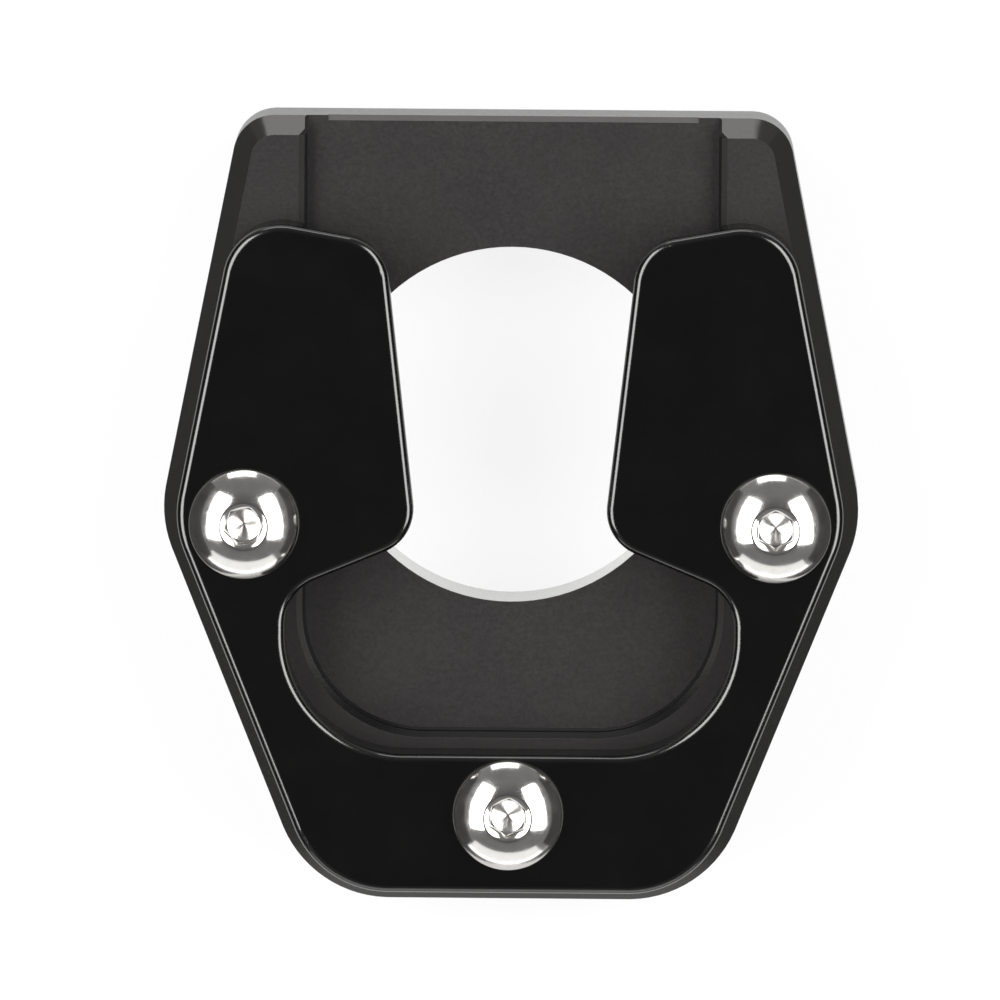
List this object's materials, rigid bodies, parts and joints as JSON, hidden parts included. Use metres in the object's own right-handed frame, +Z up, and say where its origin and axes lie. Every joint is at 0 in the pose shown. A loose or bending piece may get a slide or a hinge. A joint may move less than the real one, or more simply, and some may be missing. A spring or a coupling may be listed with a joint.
{
  "type": "kickstand foot enlarger",
  "caption": "Bevelled aluminium plate with a pocket for a side stand's foot, a horseshoe clamp plate over it and button-head screws.",
  "frame": {"origin": "on the underside, below the middle of the base plate's outline", "axes": "+Y towards the open end where the foot slides in, +Z up, +X to the right"},
  "size_m": [0.06, 0.068, 0.0157],
  "materials": {
    "matte_anodised": "bead-blasted, dark grey anodised",
    "gloss_anodised": "polished, black anodised",
    "stainless": "polished stainless steel"
  },
  "bodies": {
    "root": {"base_plate": "matte_anodised", "clamp_plate": "gloss_anodised", "screw_left": "stainless", "screw_right": "stainless", "screw_toe": "stainless"}
  },
  "joints": []
}
